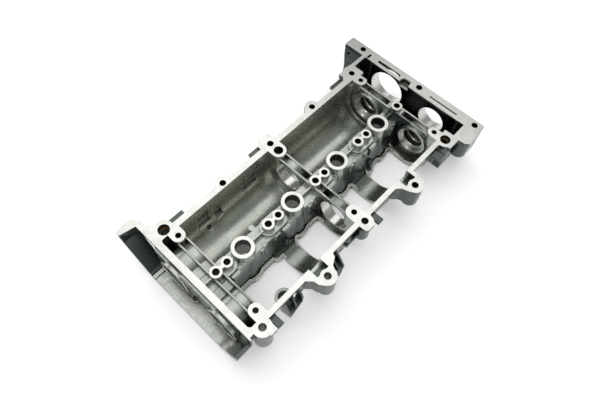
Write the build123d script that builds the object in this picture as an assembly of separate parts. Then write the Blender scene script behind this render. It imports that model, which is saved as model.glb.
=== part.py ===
import os
from math import radians, sin, cos, sqrt
from build123d import *

# ---------------------------------------------------------------- driving dimensions (mm)
# +X runs from the belt end to the rear flange, +Z is up, z = 0 is the machined joint face.
PITCH = 90.0                 # cylinder pitch
CYLINDERS = 4
CAM_Y = 43.5                 # cam axes, left and right of the bolt line
CAM_Z = -33.0
TUNNEL_R = 35.5              # inside of a cam tunnel
WALL = 4.5                   # cast wall
SHELL_R = TUNNEL_R + WALL
BOTTOM_Z = CAM_Z - SHELL_R   # lowest line of the casting

FRONT_X = -209.0             # belt-side face of the front rail
FRONT_RAIL = 9.0
REAR_X = 241.0               # rear flange face
REAR_WALL_X = 221.5          # inside of the rear wall
LEFT_IN = 79.4
LEFT_OUT = 87.8
RIGHT_IN = -79.2
RIGHT_OUT = -86.2
SIDE_OUT = 83.5              # outside of the side walls below the rail
RAIL_T = 8.0                 # thickness of the rail where it stands clear

WEB_XS = (-2 * PITCH, 0.0, 2 * PITCH)
RIB_OFF = 6.2                # the twin ribs of a web, from its middle
RIB_T = 2.4
RIB_Z = -5.3
JOURNAL_R = 23.7
HOUSING_R = 26.4             # outside of the bearing housings
SEAL_R = 22.5                # bores through the front wall
SEAL_OUT = 4.0               # how far their bosses stand out of it

DECK_Z = -15.0               # cast deck between the tunnels
DECK_HALF = 13.0
FOOT_HALF = 19.3             # half width of the middle ridge at its foot
FOOT_Z = -59.0

TUBE_XS = tuple(PITCH * (i - (CYLINDERS - 1) / 2) for i in range(CYLINDERS))
TUBE_R = 15.2
TUBE_HOLE = 10.4
TUBE_LAND = 16.4
BOLT_XS = tuple(PITCH * (i - CYLINDERS / 2) for i in range(CYLINDERS + 1))
BOLT_BOSS = 8.2
BOLT_HOLE = 4.8
STUD_OFF = 18.2              # second screw of each pair, from the bolt
STUD_XS = tuple(x + STUD_OFF for x in BOLT_XS[:-1])
STUD_BOSS = 7.5
STUD_HOLE = 4.5

# windows of the right tunnel: first x, last x
WINDOWS = ((-172.0, -90.0), (-61.5, -12.5), (12.5, 63.0), (95.0, 155.0))
WINDOW_Y = -23.6             # edge of the windows at the foot of the ridge
WINDOW_ROUND = 6.0
LIP = 3.2                    # raised lip round each window
LIP_H = 2.8


# ---------------------------------------------------------------- small helpers
def box(x0, x1, y0, y1, z0, z1):
    return Pos((x0 + x1) / 2, (y0 + y1) / 2, (z0 + z1) / 2) * Box(x1 - x0, y1 - y0, z1 - z0)


def post(x, y, r, z0, z1):
    return Pos(x, y, (z0 + z1) / 2) * Cylinder(r, z1 - z0)


def taper(x, y, r0, z0, r1, z1):
    return Pos(x, y, (z0 + z1) / 2) * Cone(r0, r1, z1 - z0)


def tube_x(x0, x1, y, z, r):
    return Pos((x0 + x1) / 2, y, z) * Rot(0, 90, 0) * Cylinder(r, x1 - x0)


def poly(*points):
    return make_face(Polyline(*points, close=True))


def plate(face, z0, z1):
    return Pos(0, 0, z0) * extrude(face, z1 - z0)


def section(face, x0, x1):
    """A shape drawn in Y and Z, run along X."""
    return Plane.YZ.offset(x0) * extrude(face, x1 - x0)


def rect(x0, x1, y0, y1):
    return Pos((x0 + x1) / 2, (y0 + y1) / 2) * Rectangle(x1 - x0, y1 - y0)


def disc(x, y, r):
    return Pos(x, y) * Circle(r)


def slab(x0, y0, x1, y1, r):
    """Round-ended bar between two points."""
    length = sqrt((x1 - x0) ** 2 + (y1 - y0) ** 2)
    return disc(x0, y0, r) + disc(x1, y1, r) + bar(x0, y0, x1, y1, r, length)


def bar(x0, y0, x1, y1, r, length):
    nx, ny = -(y1 - y0) / length * r, (x1 - x0) / length * r
    return poly((x0 + nx, y0 + ny), (x1 + nx, y1 + ny), (x1 - nx, y1 - ny), (x0 - nx, y0 - ny))


# ---------------------------------------------------------------- machined face, drawn in X and Y
# side bolts: x, y, boss radius, hole radius
LEFT_BOLTS = ((-187.6, 88.2, 13.6, 5.4), (-89.5, 85.6, 10.7, 4.6), (0.0, 85.3, 10.8, 4.8),
              (89.5, 87.8, 11.3, 4.6), (180.6, 88.2, 12.0, 4.6))
RIGHT_BOLTS = ((-188.3, -88.2, 12.3, 5.0), (-89.5, -101.5, 12.3, 4.9), (0.0, -86.8, 10.6, 4.9),
               (89.5, -101.5, 12.3, 4.9), (180.6, -87.5, 13.0, 5.2))
COUNTERBORES = ((-187.6, 88.2, 7.9, 9.0), (180.6, -87.5, 7.6, 7.0))
WEB_BOLT_Y = 69.4            # bolts at the ends of the webs
WEB_BOLT_BOSS = (9.2, 11.2, 9.2)
WEB_BOLT_HOLES = ((4.0, 6.7, 3.9), (3.9, 4.1, 3.9))    # left row, right row
FLANGE_BOLTS = ((232.2, 107.8, 4.6), (232.2, -3.0, 5.0), (232.2, -103.8, 4.7))


def centre_bosses():
    face = disc(BOLT_XS[-1], 0, BOLT_BOSS)
    for bolt, stud in zip(BOLT_XS, STUD_XS):
        face += disc(bolt, 0, BOLT_BOSS) + disc(stud, 0, STUD_BOSS)
        face += rect(bolt, stud, -2.4, 2.4)
    for x in TUBE_XS:
        face += disc(x, 0, TUBE_R)
    return face


def web_end_bosses():
    face = disc(0, WEB_BOLT_Y, 1)
    for x, r in zip(WEB_XS, WEB_BOLT_BOSS):
        face += disc(x, WEB_BOLT_Y, r) + rect(x - r, x + r, WEB_BOLT_Y, LEFT_IN + 1)
        face += disc(x, -WEB_BOLT_Y + 1, r) + rect(x - r, x + r, RIGHT_IN - 1, -WEB_BOLT_Y + 1)
    return face


def bay_corners():
    """Rounds between the front rail and the side rails."""
    x, r = FRONT_X + FRONT_RAIL, 5.0
    left = rect(x - 1, x + r, LEFT_IN - r, LEFT_IN + 1) - disc(x + r, LEFT_IN - r, r)
    right = rect(x - 1, x + r, RIGHT_IN - 1, RIGHT_IN + r) - disc(x + r, RIGHT_IN + r, r)
    return left + right


# ears of the right rail: outline, measured from the bolt
EARS = (((-24, 15), (-17, 7.5), (-16, 0.5), (-10.5, -7.5), (-4.5, -11.5), (6.5, -9.5), (10.5, -4),
         (15, 4.5), (18.5, 6.5), (25, 10.5), (27, 15.5)),
        ((-23.5, 15.5), (-17.5, 9.5), (-14.2, 0.5), (-11.5, -4.5), (-6.5, -9.5), (-1.5, -12.1),
         (4.5, -10.5), (10.5, -7.7), (16.2, -6.5), (16.2, 15)))
EAR_FOOT = -30.0
POCKET_HALF = 10.2           # pocket between an ear's arms, open towards the tunnel
POCKET_Z = -14.0
POCKET_RIM = 9.5             # face left round the bolt hole


def ears():
    """Bolt ears outside the right rail: a plate over a hollow skirt."""
    part = None
    for (x, y, r, _), points in zip((RIGHT_BOLTS[1], RIGHT_BOLTS[3]), EARS):
        outline = [(x + dx, y + dy) for dx, dy in points]
        face = poly((outline[0][0], RIGHT_IN), *outline, (outline[-1][0], RIGHT_IN)) + disc(x, y, r)
        core = offset(face, -WALL, kind=Kind.INTERSECTION) - disc(x, y, r)
        ear = plate(face, EAR_FOOT, 0) - plate(core, EAR_FOOT - 1, POCKET_Z - WALL)
        part = ear if part is None else part + ear
    return part


def ear_pockets():
    cut = None
    for x, y, _, _ in (RIGHT_BOLTS[1], RIGHT_BOLTS[3]):
        floor = rect(x - POCKET_HALF, x + POCKET_HALF, y + POCKET_RIM - 2, RIGHT_IN + 3)
        piece = plate(floor - disc(x, y, POCKET_RIM), POCKET_Z, 1)
        cut = piece if cut is None else cut + piece
    return cut


def rails():
    face = rect(FRONT_X, 193, LEFT_IN, LEFT_OUT) + rect(FRONT_X, 193, RIGHT_OUT, RIGHT_IN)
    face += rect(FRONT_X, FRONT_X + FRONT_RAIL, RIGHT_OUT, 119.8)
    return face


def front_corners():
    x, y, r, _ = LEFT_BOLTS[0]
    face = disc(x, y, r) + poly((FRONT_X, LEFT_IN), (FRONT_X, 119.8), (-203, 119.8),
                                (-200.5, 108.5), (-190, y + r - 1.2), (x, y), (x, LEFT_IN))
    x, y, r, _ = RIGHT_BOLTS[0]
    face += disc(x, y, r) + rect(x, -177.2, -102.4, RIGHT_OUT + 1)
    face += rect(-200.5, x, y, RIGHT_OUT + 1)
    return face


def side_ears():
    face = disc(0, LEFT_OUT, 1)
    for x, y, r, _ in (LEFT_BOLTS[1], LEFT_BOLTS[3]):
        face += disc(x, y, r)
    face += poly((74, LEFT_OUT - 1), (82.2, 96.6), (89.5, 88), (89.5, LEFT_OUT - 1))
    face += poly((-16.2, LEFT_OUT - 1), (-16.2, 93.3), (-8, 101.5), (9.5, 101.0), (11.3, LEFT_OUT - 1))
    face += poly((-11.2, RIGHT_OUT + 1), (-10.4, -97), (-7, -99.3), (5.2, -99.3), (9.4, -94.4),
                 (12.2, RIGHT_OUT + 1))
    return face


def rear_face():
    face = rect(REAR_WALL_X, REAR_X, -115.4, 135.8)
    face += rect(165, REAR_X, 94.7, 100.5)
    face += poly((160.5, LEFT_OUT), (168, 96.5), (180, 103.0), (192, 101), (197, 95), (196, 83),
                 (189.4, 77), (171, LEFT_IN))
    face += rect(193, REAR_X, -102, -92)
    face += poly((193.4, -101), (194.3, -112.3), (199, -117.7), (207, -117.6), (226.6, -115.3),
                 (REAR_X, -115.3), (REAR_X, -101))
    face += poly((165.4, RIGHT_OUT + 1), (168.7, -90.1), (171.7, -96.7), (172.6, -101.6),
                 (194, -102), (199, -92), (195.1, -89), (195.1, -78.5), (189.4, -77.6))
    return face


def joint_face():
    return rails() + front_corners() + side_ears() + rear_face() + web_end_bosses()


# ---------------------------------------------------------------- tunnels, drawn in Y and Z
def half_tunnel(side, r, top):
    """Outline of one tunnel: straight sides, round bottom, open at the top."""
    inner, outer = side * CAM_Y - r, side * CAM_Y + r
    bottom = ThreePointArc((inner, CAM_Z), (side * CAM_Y, CAM_Z - r), (outer, CAM_Z))
    return make_face([Line((inner, top), (inner, CAM_Z)), bottom, Line((outer, CAM_Z), (outer, top)),
                      Line((outer, top), (inner, top))])


def tunnel_space(side):
    """Open space of a tunnel: the sloping flank of the middle ridge cuts its inner side."""
    ridge = poly((-DECK_HALF, 5), (-DECK_HALF, DECK_Z), (-FOOT_HALF, FOOT_Z), (-FOOT_HALF, BOTTOM_Z),
                 (FOOT_HALF, BOTTOM_Z), (FOOT_HALF, FOOT_Z), (DECK_HALF, DECK_Z), (DECK_HALF, 5))
    return half_tunnel(side, TUNNEL_R, 2) - ridge


def valley():
    """Channel under the deck, open to the outside, where the injectors stand."""
    deck_t = 3.5
    return poly((-DECK_HALF + WALL, DECK_Z - deck_t), (-FOOT_HALF + WALL, FOOT_Z),
                (-FOOT_HALF - 3, BOTTOM_Z - 1), (FOOT_HALF + 3, BOTTOM_Z - 1),
                (FOOT_HALF - WALL, FOOT_Z), (DECK_HALF - WALL, DECK_Z - deck_t))


def outer_body():
    """Both shells and the ridge between them, solid until the spaces are cut."""
    middle = CAM_Y - SHELL_R + 8
    ridge = poly((-middle, 0), (-middle, FOOT_Z), (middle, FOOT_Z), (middle, 0))
    face = half_tunnel(1, SHELL_R, 0) + half_tunnel(-1, SHELL_R, 0) + ridge
    return section(face, FRONT_X, REAR_WALL_X)


def bays():
    """Spaces between the webs, from the belt end."""
    edge = RIB_OFF + RIB_T / 2
    starts = (FRONT_X + FRONT_RAIL,) + tuple(x + edge for x in WEB_XS[:-1])
    ends = tuple(x - edge for x in WEB_XS)
    space = None
    for x0, x1 in zip(starts, ends):
        piece = section(tunnel_space(1) + tunnel_space(-1), x0, x1)
        piece += box(x0, x1, -DECK_HALF - 1, DECK_HALF + 1, DECK_Z, 2)
        space = piece if space is None else space + piece
    return space


def window_outline(x0, x1, out):
    """A window grown outwards, with its wavy edge round the tubes and the ball feet."""
    reach = WINDOW_Y + out
    depth = reach + SHELL_R + CAM_Y + 12
    face = RectangleRounded(x1 - x0 + 2 * out, depth, WINDOW_ROUND + out)
    face = Pos((x0 + x1) / 2, reach - depth / 2) * face
    for x in TUBE_XS:
        face -= disc(x, 0, -WINDOW_Y + 2.7 - out)
    return face - disc(-93, -13, 15.5 - out) - disc(102, -20, 9.8 - out)


def window_cuts():
    cut = None
    for x0, x1 in WINDOWS:
        piece = plate(window_outline(x0, x1, 0), BOTTOM_Z - 5, -RAIL_T)
        cut = piece if cut is None else cut + piece
    return cut


def window_lips():
    """Lips along the wavy edges, and one across the far end of the last window."""
    ring = half_tunnel(-1, TUNNEL_R + 1, CAM_Z + 5) - half_tunnel(-1, TUNNEL_R - LIP_H, CAM_Z + 6)
    part = section(ring, WINDOWS[-1][1], WINDOWS[-1][1] + LIP)
    for x0, x1 in WINDOWS:
        edge = window_outline(x0, x1, LIP) & rect(x0 - LIP, x1 + LIP, WINDOW_Y - 9, 0)
        part += plate(edge, BOTTOM_Z, CAM_Z) & section(ring, x0 - 2 * LIP, x1 + 2 * LIP)
    return part


# ---------------------------------------------------------------- webs and bearings
FAR_RING_R = 25.5            # the last pair of bearings stands out of its web as a stepped cup
FAR_RING_OUT = 5.0
FAR_CUP_R = 21.5
FAR_BORE_R = 16.5
BEAD = 3.0                   # bead round the far end of the left tunnel
PAN_Z = -14.0                # floor beside the front housings, up to the dark wells
PAN_OUT = CAM_Y + 18.5


def web_gutter(x):
    """Space over the twin ribs of a web and the gutter between them, down to the bearings."""
    edge, gap = RIB_OFF + RIB_T / 2, RIB_OFF - RIB_T / 2
    cut = box(x - gap, x + gap, RIGHT_IN, LEFT_IN, CAM_Z + 6, 2)
    cut -= box(x - gap - 1, x + gap + 1, -DECK_HALF - 2, DECK_HALF + 2, CAM_Z, DECK_Z)
    for side in (1, -1):
        cut -= tube_x(x - gap - 1, x + gap + 1, side * CAM_Y, CAM_Z, HOUSING_R)
    return cut + box(x - edge, x + edge, RIGHT_IN, LEFT_IN, RIB_Z, 2)


def far_gutter(x):
    """The last web has no housing between its ribs: they stand free to the tunnel floor."""
    edge, gap = RIB_OFF + RIB_T / 2, RIB_OFF - RIB_T / 2
    cut = section(tunnel_space(1) + tunnel_space(-1), x - gap, x + gap)
    return cut + box(x - edge, x + edge, RIGHT_IN, LEFT_IN, RIB_Z, 2)


def housings():
    """The front pair closes the space behind the front wall; the last pair are short rings."""
    part = None
    near = WEB_XS[2] - RIB_OFF
    for side in (1, -1):
        piece = tube_x(FRONT_X, WEB_XS[0] - RIB_OFF, side * CAM_Y, CAM_Z, HOUSING_R)
        pan = rect(FRONT_X, WEB_XS[0] + RIB_OFF, DECK_HALF - 1, PAN_OUT)
        piece += plate(pan if side > 0 else mirror(pan, about=Plane.XZ), CAM_Z, PAN_Z)
        piece += tube_x(near - RIB_T / 2 - FAR_RING_OUT, near + RIB_T, side * CAM_Y, CAM_Z, FAR_RING_R)
        part = piece if part is None else part + piece
    bead = half_tunnel(1, TUNNEL_R + 2, -RAIL_T) - half_tunnel(1, TUNNEL_R - BEAD, 3)
    bead -= rect(-FOOT_HALF, FOOT_HALF - 1, BOTTOM_Z, 5)
    return part + section(bead, near - RIB_T / 2 - 2 * BEAD, near)


def journals():
    cut = None
    first, middle, last = WEB_XS
    inner = FRONT_X + FRONT_RAIL
    edge = RIB_OFF + RIB_T / 2 + 1
    for side in (1, -1):
        y = side * CAM_Y
        piece = tube_x(FRONT_X - COVER_WALL - SEAL_OUT - 1, inner, y, CAM_Z, SEAL_R)
        piece += tube_x(inner, first + edge, y, CAM_Z, JOURNAL_R)
        piece += tube_x(middle - edge, middle + edge, y, CAM_Z, JOURNAL_R)
        piece += tube_x(last - edge - FAR_RING_OUT, last - RIB_OFF, y, CAM_Z, FAR_CUP_R)
        piece += tube_x(last - RIB_OFF, last + edge + 3, y, CAM_Z, FAR_BORE_R)
        cut = piece if cut is None else cut + piece
    return cut


# ---------------------------------------------------------------- middle ridge
def tubes():
    part = None
    for x in TUBE_XS:
        piece = post(x, 0, TUBE_R, DECK_Z, 0) + taper(x, 0, -WINDOW_Y - 2, FOOT_Z - 3, TUBE_R, DECK_Z)
        part = piece if part is None else part + piece
    return part


def centre_columns():
    foot = -45.0
    part = plate(centre_bosses(), DECK_Z - 1, 0)
    for x in BOLT_XS:
        part += post(x, 0, BOLT_BOSS, foot, 0)
    for x in STUD_XS:
        part += post(x, 0, STUD_BOSS, foot, 0)
    return part


SHOULDER_R = 12.4            # platform round each screw pair
SHOULDER_Z = -9.5
LEDGE_Z = -60.5              # ledge between the ridge and the windows


def ridge_details():
    """Thin rib on the bolt line, platforms round the screw pairs, pads and stubs."""
    part = box(BOLT_XS[0], BOLT_XS[-1], -1.1, 1.1, DECK_Z - 1, -7)
    part += box(FRONT_X + FRONT_RAIL - 1, BOLT_XS[0], -1.1, 1.1, DECK_Z - 1, RIB_Z)
    for bolt, stud in zip(BOLT_XS, STUD_XS):
        start = bolt + SHOULDER_R if bolt in WEB_XS else bolt
        part += plate(slab(start, 0, stud, 0, SHOULDER_R), DECK_Z - 4, SHOULDER_Z)
        part += plate(slab(stud - 5, -15.4, stud + 4, -15.4, 2.6), DECK_Z - 16, DECK_Z + 1.5)
        part += plate(slab(bolt, -14.2, bolt + 6, -14.2, 1.8), DECK_Z - 12, DECK_Z)
    for x, y in ((-104, 17.2), (60, 17.2)):
        part += post(x, y, 4.4, FOOT_Z, DECK_Z - 1)
    for x, y in ((-74.5, -19.6), (105.5, -19.6)):
        part += post(x, y, 5.4, FOOT_Z - 4, FOOT_Z + 9) + Pos(x, y, FOOT_Z + 9) * Sphere(5.4)
    for x in TUBE_XS:
        part += post(x + 19, -13.6, 3.6, DECK_Z - 18, DECK_Z - 1)
        part += post(x + 25.5, -12.4, 3.0, DECK_Z - 14, DECK_Z + 0.5)
    return part


def window_ledges():
    """Flat ledge along each window at the foot of the ridge, bulging round the tubes."""
    part = None
    for x0, x1 in WINDOWS:
        face = rect(x0 - 1, x1 + 1, WINDOW_Y - 1, -FOOT_HALF + 1)
        for x in TUBE_XS:
            if x0 < x < x1:
                face += disc(x, 0, -WINDOW_Y + 3.7) & rect(x0 - 1, x1 + 1, 2 * WINDOW_Y, 0)
        piece = plate(face, BOTTOM_Z, LEDGE_Z)
        part = piece if part is None else part + piece
    return part


def tube_holes():
    cut = None
    for x in TUBE_XS:
        piece = post(x, 0, TUBE_HOLE, -TUBE_LAND - 1, 1)
        piece += taper(x, 0, TUBE_HOLE + 7, BOTTOM_Z - 1, TUBE_HOLE + 1, -TUBE_LAND)
        cut = piece if cut is None else cut + piece
    return cut


# ---------------------------------------------------------------- rear housing
REAR_BORES = ((CAM_Y + 1.2, 29.6), (-CAM_Y + 1.2, 22.0))
REAR_FRONT_X = 187.4


def rear_housing():
    part = box(REAR_FRONT_X - 2, REAR_X, -96.5, 99, BOTTOM_Z, 0)
    part += plate(disc(REAR_X - 35, -105.5, 12.2) + rect(REAR_X - 35, REAR_X - 13, -117.4, -90), -36, 0)
    wing = poly((-115.3, 0), (-115.3, -12), (-96, -52), (-60, BOTTOM_Z), (70, BOTTOM_Z), (98, -50),
                (135.6, -16), (135.6, 0))
    part += section(wing, REAR_WALL_X + 5, REAR_X)
    corner = poly((138, LEFT_OUT - 2), (145, 93.4), (160, 92.4), (167.2, 96.5), (190.2, 111.2),
                  (213.3, 129.9), (221.9, 135.2), (REAR_X - 1, 135.6), (REAR_X - 1, LEFT_OUT - 2))
    return part + plate(corner, -14, -3.2) + post(205, 109, 6.2, -10, -2.2)


def rear_chamber():
    cut = box(REAR_FRONT_X, 197, -77.4, 77, BOTTOM_Z + WALL, 2)
    cut += box(195, REAR_WALL_X, -92, 94.7, BOTTOM_Z + WALL, 2)
    for y, r in REAR_BORES:
        cut += tube_x(REAR_WALL_X - 2, REAR_X + 2, y, CAM_Z, r)
    return cut


def rear_slots():
    slot, groove = REAR_X - 11.4, REAR_X - 11.5
    cut = plate(slab(slot, 34.0, slot, 72.5, 2.6), -9, 1)
    cut += plate(rect(groove - 1.3, groove + 1.3, -74, -25), -5, 1)
    cut += plate(slab(REAR_X - 17, 91.5, REAR_X - 10.5, 91.5, 1.8), -14, 1)
    cut += plate(poly((REAR_WALL_X - 1, 9.3), (REAR_X - 9.1, 12.0), (REAR_X - 9.3, 23.6),
                      (REAR_X - 15, 27), (REAR_WALL_X - 1, 26)), -9, 1)
    return cut + post(REAR_X - 29, 121, 2.6, -12, 1)


# ---------------------------------------------------------------- belt-end cover
COVER_X = -231.6             # open edge of the belt cover
COVER_R = 44.0               # round the pulley of the right cam
COVER_Y = -41.0
COVER_FLOOR = BOTTOM_Z + WALL
COVER_BEND = 79.5            # where the floor turns up to the left corner
COVER_WALL = 3.0             # wall over the floor, in front of the rail


def cover_line(out):
    """Inner line of the belt cover in Y and Z, moved outwards."""
    r = COVER_R + out
    z = COVER_FLOOR + COVER_R
    slope = Polyline((121.7 + 1.5 * out, 0), (118.5 + 1.2 * out, -17 - 0.4 * out),
                     (COVER_BEND + 0.4 * out, COVER_FLOOR - out), (COVER_Y, COVER_FLOOR - out))
    middle = (COVER_Y - r * sin(radians(45)), z - r * cos(radians(45)))
    round_end = ThreePointArc((COVER_Y, COVER_FLOOR - out), middle, (COVER_Y - r, z))
    return [*slope.edges(), round_end, Line((COVER_Y - r, z), (COVER_Y - r, 0))]


def belt_cover():
    inner, outer = cover_line(0), cover_line(WALL)
    ends = [Line(inner[-1] @ 1, outer[-1] @ 1), Line(outer[0] @ 0, inner[0] @ 0)]
    shell = section(make_face(Wire(inner + outer + ends)), COVER_X, FRONT_X + 2)
    shell -= box(COVER_X - 1, FRONT_X, COVER_Y - COVER_R - 10, COVER_Y - COVER_R + 2, -22, 2)
    lug = plate(poly((COVER_X, 121.7), (COVER_X, 128.6), (-217, 130.1), (-206, 130), (-202.5, 119),
                     (FRONT_X, 117)), -17, 0)
    wall = box(FRONT_X - COVER_WALL, FRONT_X + 1, COVER_Y, COVER_BEND, COVER_FLOOR - 1, -10)
    return shell + lug + wall


def cover_details():
    """Bosses of the cam bores, and the ribs and cup on the floor of the cover."""
    low, wall = COVER_FLOOR - 1, FRONT_X - COVER_WALL
    part = box(COVER_X, wall + 1, COVER_BEND - 6, COVER_BEND, low, COVER_FLOOR + 2.5)
    part += plate(slab(-219.6, -63, FRONT_X, -61.6, 2.5), low, COVER_FLOOR + 8)
    part += post(FRONT_X - 2, 13.5, 6.2, low, COVER_FLOOR + 6)
    part -= post(FRONT_X - 3, 13.5, 4.0, COVER_FLOOR + 3, COVER_FLOOR + 7)
    for side in (1, -1):
        part += tube_x(wall - SEAL_OUT, wall + 1, side * CAM_Y, CAM_Z, HOUSING_R)
    return part


# ---------------------------------------------------------------- outside of the side walls
def side_columns():
    part = None
    for x, y, r, _ in LEFT_BOLTS:
        piece = post(x, y, r, -42, 0)
        part = piece if part is None else part + piece
    for x, y, r, _ in RIGHT_BOLTS:
        part += post(x, y, r, -37 if x > RIGHT_BOLTS[0][0] else -50, 0)
    part += post(-89.5, 84.0, 8.6, -46, 0) + post(89.5, 85.5, 8.6, -36, 0)
    for x, y, foot in ((-109, -85.2, -60), (-33, -85.8, -54), (57, -85, -58)):
        part += post(x, y, 4.8, foot, -2)
    return part


def side_walls():
    """Lengths of the right wall that stay below the rail beside the windows."""
    part = None
    for x0, x1, foot in ((-114, -88, -46), (-62, -53, -34), (-38, -28, -48), (-36, -10, -22),
                         (10, 64, -34), (94, 106, -34), (150, 172, -40)):
        piece = box(x0, x1, -SIDE_OUT, RIGHT_IN, foot, -2)
        part = piece if part is None else part + piece
    part += box(-35, -11, -89.5, -SIDE_OUT, -26, -20)
    return part


def sensor_pocket():
    """D-shaped boss of the cam sensor with its open box outside the rail."""
    part = post(-139.5, -76.0, 11.6, -46, -24)
    part += plate(poly((-151, -82), (-149, -97), (-122, -93.5), (-122, -82)), -44, -40)
    part += plate(poly((-151, -82), (-149, -97), (-147, -97), (-148.5, -82)), -44, -8)
    part += plate(poly((-124.5, -82), (-124.5, -93.5), (-122, -93.5), (-122, -82)), -44, -8)
    part += plate(poly((-137, -82), (-137, -94), (-135, -94), (-135, -82)), -44, -14)
    wedge = section(poly((-82, 2), (-86, -7), (-99, -42), (-104, -42), (-104, 2)), -152, -120)
    return part - wedge - post(-139.5, -76.0, 7.5, -40, 0)


def ear_gusset():
    part = section(poly((RIGHT_OUT, -2), (RIGHT_OUT - 17, -28), (RIGHT_OUT - 17, -32),
                        (-SIDE_OUT, -36), (-SIDE_OUT, -2)), -57, -54.5)
    part += plate(poly((-57, RIGHT_OUT), (-55, -103), (-68, -107), (-80, -100), (-80, RIGHT_OUT)),
                  -33, -30)
    return part + section(poly((-86, -6), (-101, -29), (-101, -31), (-86, -31)), -64.5, -62.5)


def brackets():
    part = None
    for x0, x1, side in ((-175.5, -165.5, -1), (13.5, 23, -1), (150, 165, -1),
                         (-176, -152, 1), (-31, -12, 1), (142, 166, 1)):
        y0 = LEFT_OUT - 3 if side > 0 else RIGHT_OUT + 3
        y1 = 98 if side > 0 else -101.5
        tab = box(x0, x1, min(y0, y1), max(y0, y1), -12.5, -8)
        tab += box(x0, x0 + 3, min(y0, side * 92), max(y0, side * 92), -24, -8)
        part = tab if part is None else part + tab
    return part


# ---------------------------------------------------------------- pockets of the left tunnel
WALL_POCKETS = ((-146, -125, -47, -20), (-117, -105, -52, -28), (-63, -37, -47, -25))


def pocket_backs():
    part = None
    for x0, x1, z0, z1 in WALL_POCKETS:
        piece = box(x0 - 4, x1 + 4, 78, 85.5, z0 - 4, z1 + 4)
        part = piece if part is None else part + piece
    return part + Pos(-133, 77, -53.5) * Rot(90, 0, 0) * Cylinder(7.5, 14)


def wall_pockets():
    cut = None
    for x0, x1, z0, z1 in WALL_POCKETS:
        piece = box(x0, x1, 66, 81.3, z0, z1)
        cut = piece if cut is None else cut + piece
    return cut + Pos(-133, 73, -53.5) * Rot(90, 0, 0) * Cylinder(4.0, 14)


# ---------------------------------------------------------------- bolt holes
def bolt_holes():
    cut = None
    for x in BOLT_XS:
        piece = post(x, 0, BOLT_HOLE, BOTTOM_Z - 1, 1)
        cut = piece if cut is None else cut + piece
    for x in STUD_XS:
        cut += post(x, 0, STUD_HOLE, BOTTOM_Z - 1, 1)
    for x, y, _, hole in LEFT_BOLTS + RIGHT_BOLTS:
        cut += post(x, y, hole, -62, 1)
    for x, y, r, depth in COUNTERBORES:
        cut += post(x, y, r, -depth, 1)
    for i, x in enumerate(WEB_XS):
        cut += post(x, WEB_BOLT_Y, WEB_BOLT_HOLES[0][i], -22, 1)
        cut += post(x, -WEB_BOLT_Y + 1, WEB_BOLT_HOLES[1][i], -22, 1)
    for x, y, hole in FLANGE_BOLTS:
        cut += post(x, y, hole, -26, 1)
    return cut


# ---------------------------------------------------------------- the casting
def spaces():
    """Tunnels, valley and gutters, less what stands in them."""
    space = bays() + section(valley(), FRONT_X + FRONT_RAIL + 5, REAR_FRONT_X)
    space -= ridge_details()
    space -= window_ledges() + window_lips()
    for gutter in (web_gutter(WEB_XS[0]), web_gutter(WEB_XS[1]), far_gutter(WEB_XS[2])):
        space += gutter
    space -= plate(web_end_bosses() + bay_corners(), -24, 0)
    space -= centre_columns()
    space -= tubes()
    return space - housings()


def casting():
    body = outer_body()
    for added in (rear_housing(), belt_cover(), side_columns(), pocket_backs(),
                  cover_details(), plate(joint_face(), -RAIL_T, 0)):
        body += added
    for cut in (spaces(), rear_chamber(), window_cuts()):
        body -= cut
    for added in (ears(), side_walls(), sensor_pocket(), ear_gusset(), brackets()):
        body += added
    for cut in (tube_holes(), journals(), wall_pockets(), ear_pockets(), rear_slots(), bolt_holes()):
        body -= cut
    return body


part = casting()
print("solids", [round(s.volume) for s in part.solids()], "valid", part.is_valid)
os.makedirs("parts", exist_ok=True)
export_step(part, "parts/cam_cover_casting.step")
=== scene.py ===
import math
from types import SimpleNamespace
import bpy
from mathutils import Matrix, Vector


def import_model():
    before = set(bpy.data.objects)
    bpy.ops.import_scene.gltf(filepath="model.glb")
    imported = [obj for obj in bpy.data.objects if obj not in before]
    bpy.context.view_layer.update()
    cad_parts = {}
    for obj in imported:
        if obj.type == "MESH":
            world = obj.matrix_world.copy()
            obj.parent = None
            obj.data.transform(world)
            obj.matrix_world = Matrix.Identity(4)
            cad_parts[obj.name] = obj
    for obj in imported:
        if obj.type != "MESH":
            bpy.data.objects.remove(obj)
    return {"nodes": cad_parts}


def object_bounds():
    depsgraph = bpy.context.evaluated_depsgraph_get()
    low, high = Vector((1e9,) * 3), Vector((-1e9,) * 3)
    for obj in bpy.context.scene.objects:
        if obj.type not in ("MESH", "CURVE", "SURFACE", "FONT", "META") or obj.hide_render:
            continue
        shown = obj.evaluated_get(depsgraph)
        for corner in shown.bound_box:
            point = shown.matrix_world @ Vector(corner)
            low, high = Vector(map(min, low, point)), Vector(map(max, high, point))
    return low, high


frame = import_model()
cad_box = [list(c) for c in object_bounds()]
MM = 0.001
FLOOR_Z = cad_box[0][2]

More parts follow.
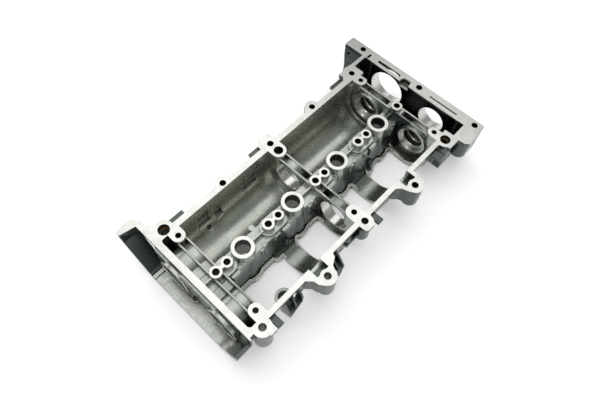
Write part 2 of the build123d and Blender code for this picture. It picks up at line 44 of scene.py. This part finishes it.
# middles, radii and places in the casting, after part.py; a reach ends just past its surface
CAM_Y, CAM_Z, PITCH = 43.5 * MM, -33 * MM, 90 * MM
REAR_BORES = ((44.7 * MM, 29.6 * MM), (-42.3 * MM, 22 * MM))
COUNTERBORES = ((-187.6 * MM, 88.2 * MM), (180.6 * MM, -87.5 * MM))
REAR_END, REAR_BORE_START = 240.8 * MM, 219 * MM
JOURNAL_REACH, WEB_REACH, CUP_REACH = 24.1 * MM, 14 * MM, 21.6 * MM
TUBE_REACH, LAND_DEPTH, COUNTERBORE_REACH = 10.7 * MM, -2.5 * MM, 8.2 * MM
LIP_R, SHELL_START, OUTER_Y, COVER_Y = 32.7 * MM, 39.2 * MM, 83.1 * MM, 79 * MM
LUG_START, FACE_SLACK, BORE_SLACK, LIP_SLACK = -30 * MM, 0.2 * MM, 0.5 * MM, 0.45 * MM
FACES = 0.9                  # a face looks along an axis when its normal goes past this
MILL_MIDDLE, MILL_WAVES = (-0.62, 0.35), 5200.0      # of the milling arcs, in metres and 1/m

# drilled holes: along which value, its middle, across which value, its middle, reach in mm
DRILLED = (("bolt_x", 0, "y", 0, 5.4), ("stud_x", 0, "y", 0, 5.4),
           ("web_x", 0, "side_y", 69.4, 7.2), ("bolt_x", 0, "side_y", 87, 7.2),
           ("side_x", 89.5, "y", -101.5, 5.6), ("x", -188.3, "y", -88.2, 5.6),
           ("x", 232.2, "corner_y", 105.8, 5.6), ("x", 232.2, "y", -3, 5.6))
STUD_SHIFT, CORNER_SHIFT = 18.2 * MM, 2 * MM

# boxes of the casting that get painted light and shade, and the oil stain of the counterbores:
# limits in mm along X, Y and Z
OPEN = (None, None)
ZONES = {
    "tray": ((None, -209), OPEN, OPEN),                      # floor of the belt cover: its upward faces get painted light
    "wall": ((-176, 190), (None, 79.6), (-62, -1)),          # left wall of the left tunnel, paled with painted light
    "pockets": ((-150, -33), (79.7, 83), (-54, -18)),        # shallow pockets in that wall, darkened with painted shade
    "right_floor": ((-176, 176), (-75, -25), OPEN),          # floor of the right tunnel: its upward faces darkened with painted shade
    "flank": ((-203, 190), (-25.5, 0), OPEN),                # right flank of the ridge, darkened with painted shade
    "knee": ((140, 174), (-32, 8), (-64, -1.5)),             # end of the ridge at the last web, darkened with painted shade
    "corner": ((None, -205), OPEN, OPEN),                    # outside of the belt cover, darkened with painted shade
    "chamber": ((187.2, 240.6), (-79, 79.2), (-71.5, -3)),   # rear chamber, painted near black as shade, lug tops left out
    "drilled": (OPEN, OPEN, (-42, -0.4)),                    # insides of the drilled holes, painted dark as shade
    "holes": (OPEN, OPEN, (-10, None)),                      # counterbores
    "lip_highlight": ((-176, 162), (-40, -8), (None, -34)),           # rims of the windows, with a painted highlight
    "cup": ((160, 187.3), OPEN, OPEN),                       # faces of the last bearings, paled with painted light against the recess shade
}
# soft borders of three of them: the value, and from where to where in mm it fades in
RAMPS = {
    "wall": (("y", 60, 78),),
    "flank": (("y", -11, -17), ("z", -10, -22)),
    "knee": (("x", 143, 152),),
}
# strength and colour of each painted light and shade, and of the counterbores' oil stain, laid
# over one another in this order
SHADES = {
    "tray": (0.4, (186, 189, 183)), "wall": (0.4, (222, 220, 206)),
    "pockets": (0.6, (84, 80, 66)), "right_floor": (0.5, (112, 117, 112)),
    "outside": (0.9, (66, 74, 72)), "flank": (0.9, (60, 67, 62)),
    "knee": (0.75, (70, 77, 73)), "corner": (0.8, (72, 79, 80)),
    "chamber": (0.93, (16, 18, 19)), "painted_crease_shade": (0.65, (44, 48, 45)),
    "painted_enclosed_shade": (0.4, (32, 35, 33)), "drilled": (0.9, (20, 21, 20)),
    "holes": (0.8, (96, 78, 52)), "lip_highlight": (0.85, (226, 229, 222)),
    "cup": (0.85, (206, 209, 203)),
}


# ---------------------------------------------------------------- shader helpers
class Nodes:
    """Short calls for building a node tree; every input may be a number or a socket."""

    def __init__(self, name):
        self.mat = bpy.data.materials.new(name)
        self.mat.use_nodes = True
        self.tree = self.mat.node_tree
        self.tree.nodes.clear()

    def new(self, kind, **props):
        node = self.tree.nodes.new(kind)
        for key, value in props.items():
            setattr(node, key, value)
        return node

    def put(self, socket, value):
        if isinstance(value, bpy.types.NodeSocket):
            self.tree.links.new(value, socket)
        elif value is not None:
            socket.default_value = value

    def fill(self, node, **values):
        """Set inputs by name, with _ for a space."""
        for key, value in values.items():
            self.put(node.inputs[key.replace("_", " ")], value)

    def output(self, surface):
        self.fill(self.new("ShaderNodeOutputMaterial"), Surface=surface)
        return self.mat

    def split(self, vector):
        node = self.new("ShaderNodeSeparateXYZ")
        self.put(node.inputs[0], vector)
        return node.outputs

    # values
    def vec(self, op, a, b=None, out=0):
        node = self.new("ShaderNodeVectorMath", operation=op)
        for socket, value in zip(node.inputs, (a, b)):
            self.put(socket, value)
        return node.outputs[out]

    def math(self, op, a, b=None):
        node = self.new("ShaderNodeMath", operation=op)
        for socket, value in zip(node.inputs, (a, b)):
            self.put(socket, value)
        return node.outputs[0]

    def size(self, value):
        return self.math("ABSOLUTE", value)

    def away(self, value, target):
        return self.size(self.math("SUBTRACT", value, target))

    def radius(self, a, a0, b, b0):
        da = self.math("POWER", self.math("SUBTRACT", a, a0), 2.0)
        db = self.math("POWER", self.math("SUBTRACT", b, b0), 2.0)
        return self.math("SQRT", self.math("ADD", da, db))

    def step(self, value, lo, hi, a=0.0, b=1.0):
        """Smooth ramp of a value from lo to hi."""
        node = self.new("ShaderNodeMapRange", interpolation_type="SMOOTHSTEP")
        for socket, v in zip(node.inputs, (value, lo, hi, a, b)):
            self.put(socket, v)
        return node.outputs[0]

    def lerp(self, fac, a, b):
        node = self.new("ShaderNodeMix", data_type="FLOAT")
        for socket, v in zip(node.inputs[:1] + node.inputs[2:4], (fac, a, b)):
            self.put(socket, v)
        return node.outputs[0]

    def noise(self, where, scale, detail=4.0, rough=0.55, distort=0.0):
        node = self.new("ShaderNodeTexNoise")
        self.fill(node, Vector=where, Scale=scale, Detail=detail, Roughness=rough,
                  Distortion=distort)
        return node.outputs["Fac"]

    def shelter(self, distance, samples):
        """Ambient occlusion: 1 in the open, 0 where all within the distance is covered."""
        node = self.new("ShaderNodeAmbientOcclusion", samples=samples)
        self.fill(node, Distance=distance)
        return node.outputs["AO"]

    def mix(self, fac, a, b):
        """Mix of two colours."""
        node = self.new("ShaderNodeMix", data_type="RGBA")
        for key, value in (("Factor", fac), ("A", a), ("B", b)):
            self.put(node.inputs[key], value)
        return node.outputs["Result"]

    # masks
    def above(self, value, limit):
        return self.math("GREATER_THAN", value, limit)

    def below(self, value, limit):
        return self.math("LESS_THAN", value, limit)

    def near(self, value, target, width):
        return self.below(self.away(value, target), width)

    def all_of(self, *masks):
        out = masks[0]
        for m in masks[1:]:
            out = self.math("MULTIPLY", out, m)
        return out

    def any_of(self, *masks):
        out = masks[0]
        for m in masks[1:]:
            out = self.math("MAXIMUM", out, m)
        return out


def rgb(r, g, b):
    """Display values 0-255 to a linear colour."""
    return tuple((c / 255 / 12.92) if c <= 10 else ((c / 255 + 0.055) / 1.055) ** 2.4
                 for c in (r, g, b)) + (1.0,)


# ---------------------------------------------------------------- cast and machined aluminium
def read_surface(n):
    """Sockets for the place on the casting, the way its face looks, and measures from them."""
    s = SimpleNamespace(where=n.new("ShaderNodeTexCoord").outputs["Object"])
    geometry = n.new("ShaderNodeNewGeometry")
    s.normal = geometry.outputs["Normal"]
    s.x, s.y, s.z = n.split(s.where)
    s.nx, _, s.nz = n.split(geometry.outputs["True Normal"])
    s.side_x, s.side_y = n.size(s.x), n.size(s.y)
    s.from_cam = n.radius(s.side_y, CAM_Y, s.z, CAM_Z)
    # distance along X from the nearest screw, stud pair and web
    s.bolt_x = n.math("PINGPONG", s.x, PITCH / 2)
    s.stud_x = n.math("PINGPONG", n.math("SUBTRACT", s.x, STUD_SHIFT), PITCH / 2)
    s.web_x = n.math("PINGPONG", s.x, PITCH)
    s.corner_y = n.away(s.y, CORNER_SHIFT)
    return s


def machined_masks(n, s):
    """The journals, the holes of the tubes, and all that is machined."""
    top = n.all_of(n.near(s.z, 0.0, FACE_SLACK), n.above(s.nz, FACES))
    flange = n.all_of(n.above(s.x, REAR_END), n.above(s.nx, FACES))
    from_side = n.away(s.side_x, PITCH)
    journals = n.all_of(n.below(s.from_cam, JOURNAL_REACH),
                        n.below(n.away(from_side, PITCH), WEB_REACH), n.below(n.size(s.nx), 0.4))
    rear = n.all_of(n.above(s.x, REAR_BORE_START), n.any_of(
        *(n.near(n.radius(s.y, c, s.z, CAM_Z), r, BORE_SLACK) for c, r in REAR_BORES)))
    in_tube = n.below(n.radius(from_side, PITCH / 2, s.y, 0.0), TUBE_REACH)
    lands = n.all_of(in_tube, n.above(s.z, LAND_DEPTH))
    return journals, in_tube, n.any_of(top, flange, journals, rear, lands)


def shade_masks(n, s, in_tube):
    """Where painted light and shade make the cast skin paler and darker, and where oil stained
    the counterbores, by name.
    """
    masks = {name: [] for name in SHADES}
    for name, box in ZONES.items():
        for value, (lo, hi) in zip((s.x, s.y, s.z), box):
            masks[name] += [n.above(value, lo * MM)] if lo is not None else []
            masks[name] += [n.below(value, hi * MM)] if hi is not None else []
    for name, ramps in RAMPS.items():
        masks[name] += [n.step(getattr(s, a), lo * MM, hi * MM) for a, lo, hi in ramps]

    shell = n.all_of(n.above(s.from_cam, SHELL_START), n.below(s.z, CAM_Z), n.below(s.nz, 0.3))
    lug = n.all_of(n.above(s.z, LUG_START), n.above(s.nz, 0.7))
    drilled = (n.below(n.radius(getattr(s, a), a0 * MM, getattr(s, b), b0 * MM), reach * MM)
               for a, a0, b, b0, reach in DRILLED)
    holes = (n.below(n.radius(s.x, a, s.y, b), COUNTERBORE_REACH) for a, b in COUNTERBORES)
    for name, more in {
            "tray": (n.above(s.nz, 0.6),),
            "right_floor": (n.step(s.nz, 0.5, 0.9),),
            # outer walls and shell: a darker outer cast skin, and painted shade
            "outside": (n.any_of(shell, n.above(s.side_y, OUTER_Y)),),
            "corner": (n.any_of(n.math("MULTIPLY", 0.7, n.above(s.y, COVER_Y)),
                                n.below(s.nx, -0.8)),),
            "chamber": (n.above(s.nz, -0.3), n.math("SUBTRACT", 1.0, lug)),
            # painted shade in creases, from short-range occlusion
            "painted_crease_shade": (n.step(n.shelter(4 * MM, 6), 0.80, 0.35),),
            # painted shade in deep enclosed places, from long-range occlusion
            "painted_enclosed_shade": (n.step(n.shelter(45 * MM, 6), 0.45, 0.05),),
            "drilled": (n.any_of(*drilled), n.below(n.size(s.nz), 0.3)),
            "holes": (n.any_of(*holes),),
            "lip_highlight": (n.near(s.from_cam, LIP_R, LIP_SLACK),),
            "cup": (n.below(s.from_cam, CUP_REACH), n.below(s.nx, -0.5))}.items():
        masks[name] += more
    masks = {name: n.all_of(*parts) for name, parts in masks.items()}
    # the tube bores get the same painted dark shade as the drilled holes
    masks["drilled"] = n.any_of(in_tube, masks["drilled"])
    return masks


def cast_colour(n, s, worn_edge_and_glint, masks):
    """Broad mottling, fine speckle, paler edges from wear with a painted glint, a warm stain
    where oil stood, and the painted light and shade of the masks.
    """
    broad = n.noise(s.where, scale=28, detail=3, rough=0.5)
    patch = n.noise(s.where, scale=95, detail=5, rough=0.6, distort=0.6)
    speck = n.noise(s.where, scale=900, detail=3, rough=0.6)
    tone = n.math("ADD", n.math("MULTIPLY", broad, 0.6), n.math("MULTIPLY", patch, 0.4))
    cast = n.mix(n.step(tone, 0.34, 0.66), rgb(158, 164, 158), rgb(181, 184, 176))
    cast = n.mix(n.step(speck, 0.45, 0.75, 0, 0.2), cast, rgb(118, 123, 116))
    # paler edges: wear, and a painted glint along them
    cast = n.mix(n.math("MULTIPLY", worn_edge_and_glint, 0.95), cast, rgb(242, 243, 238))
    low = n.math("MULTIPLY", n.step(s.z, -40 * MM, -70 * MM), n.step(patch, 0.45, 0.7))
    cast = n.mix(n.math("MULTIPLY", low, 0.35), cast, rgb(150, 140, 118))
    for name, (strength, shade) in SHADES.items():
        cast = n.mix(n.math("MULTIPLY", masks[name], strength), cast, rgb(*shade))
    return cast


def aluminium():
    """Cast skin and machined faces in one material, told apart by their place on the casting."""
    n = Nodes("cast_and_machined_aluminium")
    s = read_surface(n)
    journals, in_tube, machined = machined_masks(n, s)

    # rounded cast edges, crisp machined ones
    soft = n.new("ShaderNodeBevel", samples=6)
    n.fill(soft, Radius=n.lerp(machined, 1.6 * MM, 0.25 * MM))
    turn = n.vec("DOT_PRODUCT", soft.outputs[0], s.normal, out=1)
    # the edges, where the rounded normal turns away, get wear and a painted glint
    worn_edge_and_glint = n.step(turn, 0.995, 0.90)
    cast = cast_colour(n, s, worn_edge_and_glint, shade_masks(n, s, in_tube))

    # machined faces: milling arcs and a little sealant haze
    from_middle = n.radius(s.x, MILL_MIDDLE[0], s.y, MILL_MIDDLE[1])
    arc = n.math("SINE", n.math("MULTIPLY", from_middle, MILL_WAVES))
    haze = n.noise(s.where, scale=60, detail=5, rough=0.65, distort=0.4)
    mill = n.mix(n.step(haze, 0.35, 0.75), rgb(220, 221, 215), rgb(207, 208, 202))
    mill = n.mix(n.math("MULTIPLY", n.step(arc, -1, 1), 0.06), mill, rgb(190, 191, 188))

    rough_cast = n.step(n.noise(s.where, scale=240), 0.3, 0.7, 0.21, 0.33)
    rough_mill = n.lerp(journals, n.step(haze, 0.3, 0.75, 0.26, 0.34), 0.2)
    fine = n.noise(s.where, scale=1300, rough=0.6)
    coarse = n.noise(s.where, scale=190, detail=2, rough=0.4)
    grain = n.math("ADD", n.math("MULTIPLY", fine, 0.12), n.math("MULTIPLY", coarse, 0.6))
    bump = n.new("ShaderNodeBump")
    n.fill(bump, Strength=0.3, Distance=0.22 * MM, Normal=soft.outputs[0],
           Height=n.lerp(machined, grain, n.math("MULTIPLY", arc, 0.03)))

    skin = n.new("ShaderNodeBsdfPrincipled")
    n.fill(skin, Base_Color=n.mix(machined, cast, mill), Metallic=0.9,
           Roughness=n.lerp(machined, rough_cast, rough_mill), Normal=bump.outputs[0])
    return n.output(skin.outputs[0])


metal = aluminium()
casting = frame["nodes"]["cam_cover_casting"]
for slot in casting.material_slots:
    slot.material = metal


# ---------------------------------------------------------------- floor, world, lights, camera
def pale_floor():
    """Diffuse near the casting, to keep its shadow, with a glow dimmed there as painted contact
    shadow, and plain white far out.
    """
    n = Nodes("pale_floor")
    ray = n.new("ShaderNodeLightPath")
    seen = n.any_of(ray.outputs["Is Camera Ray"], ray.outputs["Is Glossy Ray"],
                    ray.outputs["Is Transmission Ray"])
    where = n.new("ShaderNodeTexCoord").outputs["Object"]
    far = n.step(n.vec("LENGTH", where, out=1), 0.42, 1.1)
    plain = n.new("ShaderNodeBsdfDiffuse")
    patches = n.noise(where, scale=3, detail=2)
    n.fill(plain, Color=n.mix(patches, rgb(240, 240, 240), rgb(236, 237, 237)))
    glow = n.new("ShaderNodeEmission")
    # the glow dims where the casting closes in: a painted contact shadow on the floor
    glow_dimmed_by_painted_shadow = n.step(n.shelter(150 * MM, 8), 0.25, 1.0, 0.28, 0.44)
    n.fill(glow, Color=(1, 1, 1, 1), Strength=n.all_of(seen, n.lerp(far, glow_dimmed_by_painted_shadow, 1.0)))
    both = n.new("ShaderNodeAddShader")
    fade = n.new("ShaderNodeMixShader")
    for node, values in ((both, (plain.outputs[0], glow.outputs[0])),
                         (fade, (n.all_of(seen, far), both.outputs[0], glow.outputs[0]))):
        for socket, value in zip(node.inputs, values):
            n.put(socket, value)
    return n.output(fade.outputs[0])


def floor():
    """A large plain floor under the casting."""
    half = 4.0
    corners = [(-half, -half), (half, -half), (half, half), (-half, half)]
    mesh = bpy.data.meshes.new("floor")
    mesh.from_pydata([(x, y, FLOOR_Z) for x, y in corners], [], [(0, 1, 2, 3)])
    obj = bpy.data.objects.new("floor", mesh)
    mesh.materials.append(pale_floor())
    bpy.context.scene.collection.objects.link(obj)


def world():
    """Pale studio walls: white at the horizon, dimmer overhead."""
    w = bpy.data.worlds.new("studio")
    bpy.context.scene.world = w
    w.use_nodes = True
    t = w.node_tree
    t.nodes.clear()
    way, split, walls, soft, out = (t.nodes.new("ShaderNode" + kind) for kind in (
        "TexCoord", "SeparateXYZ", "MapRange", "Background", "OutputWorld"))
    walls.interpolation_type = "SMOOTHSTEP"
    for key, value in (("From Min", 0.04), ("From Max", 0.62), ("To Min", 1.0), ("To Max", 0.30)):
        walls.inputs[key].default_value = value
    soft.inputs["Color"].default_value = (0.98, 0.99, 1.0, 1)
    t.links.new(way.outputs["Generated"], split.inputs[0])
    t.links.new(split.outputs["Z"], walls.inputs["Value"])
    t.links.new(walls.outputs[0], soft.inputs["Strength"])
    t.links.new(soft.outputs[0], out.inputs["Surface"])


def lamp(name, place, target, size, watts, colour=(1, 1, 1), spin=0.0):
    """A rectangular soft lamp that looks at its target, turned by spin degrees about Z."""
    data = bpy.data.lights.new(name, "AREA")
    data.shape, data.size, data.size_y = "RECTANGLE", size[0], size[1]
    data.energy, data.color = watts, colour
    obj = bpy.data.objects.new(name, data)
    obj.location = place
    obj.rotation_euler = (Vector(target) - Vector(place)).to_track_quat("-Z", "Y").to_euler()
    obj.rotation_euler.z += math.radians(spin)
    bpy.context.scene.collection.objects.link(obj)


def camera():
    """The photograph's camera, solved from the holes of the joint face."""
    sensor, focal_px, photo_px, place = 36.0, 492.05, 600, (-0.27624, -0.19707, 0.57036)
    data = bpy.data.cameras.new("camera")
    data.sensor_fit, data.sensor_width = "HORIZONTAL", sensor
    data.lens = sensor * focal_px / photo_px
    obj = bpy.data.objects.new("camera", data)
    right = Vector((0.6819, -0.73026, 0.04155))
    down = Vector((-0.63081, -0.61589, -0.47198))
    ahead = right.cross(down)
    turn = Matrix((right, -down, -ahead)).transposed().to_4x4()
    obj.matrix_world = Matrix.Translation(place) @ turn
    bpy.context.scene.collection.objects.link(obj)
    bpy.context.scene.camera = obj


floor()
world()
lamp("key", (0.31, 0.46, 1.30), (0.31, 0.46, 0), (1.5, 1.42), 8.4, spin=22)
lamp("side", (0.15, 1.35, 0.55), (0, 0, 0), (1.7, 0.7), 4.6, (1.0, 0.99, 0.95))
lamp("back", (-0.65, -0.45, 1.30), (-0.65, -0.45, 0), (1.4, 1.2), 4.6)
lamp("rear", (1.38, 0.12, 1.28), (1.38, 0.12, 0), (0.6, 1.1), 0.9)
camera()
bpy.context.scene.view_settings.view_transform = "Standard"
